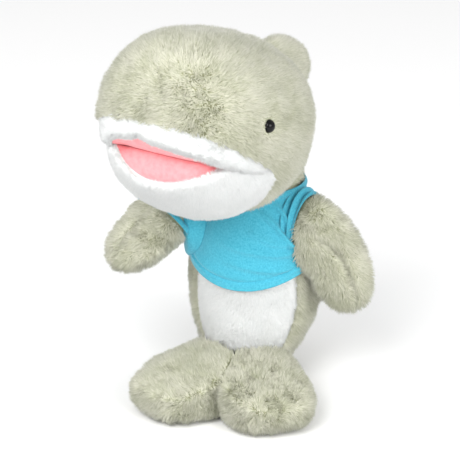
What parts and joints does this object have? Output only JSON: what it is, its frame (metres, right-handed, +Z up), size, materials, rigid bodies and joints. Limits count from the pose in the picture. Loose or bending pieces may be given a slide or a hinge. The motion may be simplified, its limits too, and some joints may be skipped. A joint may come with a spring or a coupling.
{
  "type": "plush shark",
  "caption": "Upright stuffed plush shark with a big open-mouthed head, soft fins, a forked tail it stands on and a short knitted T-shirt.",
  "frame": {"origin": "on the flat base panel's underside, on the floor, below the body's middle", "axes": "+Z up along the standing toy, -Y the way the belly faces, +X the toy's own left"},
  "size_m": [0.1739, 0.1888, 0.2599],
  "materials": {
    "grey_plush": "warm light grey long-pile plush",
    "white_plush": "white short-pile plush",
    "pink_plush": "pink short-pile plush",
    "shirt_knit": "light blue brushed jersey knit",
    "filling": "white polyester fibre",
    "eye_plastic": "polished black",
    "washer_plastic": "moulded natural nylon"
  },
  "bodies": {
    "torso": {"base_panel": "grey_plush", "back_left_cover": "grey_plush", "back_right_cover": "grey_plush", "belly_panel": "white_plush", "body_filling": "filling", "shirt_front": "shirt_knit", "shirt_back": "shirt_knit", "shirt_collar": "shirt_knit"},
    "head": {"head_left_cover": "grey_plush", "head_right_cover": "grey_plush", "upper_lip": "white_plush", "mouth_roof": "pink_plush", "head_filling": "filling", "left_eye": "eye_plastic", "right_eye": "eye_plastic", "left_eye_washer": "washer_plastic", "right_eye_washer": "washer_plastic"},
    "jaw": {"jaw_cover": "white_plush", "mouth_floor": "pink_plush", "jaw_filling": "filling"},
    "head_fin": {"head_fin_left_cover": "grey_plush", "head_fin_right_cover": "grey_plush", "head_fin_filling": "filling"},
    "left_fin": {"left_fin_front_cover": "grey_plush", "left_fin_back_cover": "grey_plush", "left_fin_filling": "filling", "left_sleeve": "shirt_knit"},
    "right_fin": {"right_fin_front_cover": "grey_plush", "right_fin_back_cover": "grey_plush", "right_fin_filling": "filling", "right_sleeve": "shirt_knit"},
    "left_lobe": {"left_tail_cover": "grey_plush", "left_tail_sole": "grey_plush", "left_tail_filling": "filling"},
    "right_lobe": {"right_tail_cover": "grey_plush", "right_tail_sole": "grey_plush", "right_tail_filling": "filling"}
  },
  "joints": [
    {"name": "head_nod", "type": "hinge", "parent": "torso", "child": "head", "pos_m": [0, 0.004, 0.148], "axis": [-0.9511, 0.309, 0], "range_deg": [-4, 12], "stiffness_Nm_per_rad": 2.5},
    {"name": "jaw_open", "type": "hinge", "parent": "head", "child": "jaw", "pos_m": [-0.01959, -0.05628, 0.1754], "axis": [0.9511, -0.309, 0], "range_deg": [-5, 3], "stiffness_Nm_per_rad": 0.4},
    {"name": "head_fin_sway", "type": "hinge", "parent": "head", "child": "head_fin", "pos_m": [0.00256, 0.01188, 0.21154], "axis": [-0.0483, -0.1488, 0.9877], "range_deg": [-12, 12], "stiffness_Nm_per_rad": 0.05},
    {"name": "left_fin_lift", "type": "hinge", "parent": "torso", "child": "left_fin", "pos_m": [0.046, -0.011, 0.126], "axis": [0, -1, 0], "range_deg": [-3, 45], "stiffness_Nm_per_rad": 0.12},
    {"name": "right_fin_lift", "type": "hinge", "parent": "torso", "child": "right_fin", "pos_m": [-0.046, -0.011, 0.126], "axis": [0, 1, 0], "range_deg": [-3, 45], "stiffness_Nm_per_rad": 0.12},
    {"name": "left_lobe_fold", "type": "hinge", "parent": "torso", "child": "left_lobe", "pos_m": [0.01361, -0.04482, 0.032], "axis": [-0.8387, -0.5446, 0], "range_deg": [0, 25], "stiffness_Nm_per_rad": 0.6},
    {"name": "right_lobe_fold", "type": "hinge", "parent": "torso", "child": "right_lobe", "pos_m": [-0.01361, -0.04482, 0.032], "axis": [-0.8387, 0.5446, 0], "range_deg": [0, 25], "stiffness_Nm_per_rad": 0.6}
  ]
}
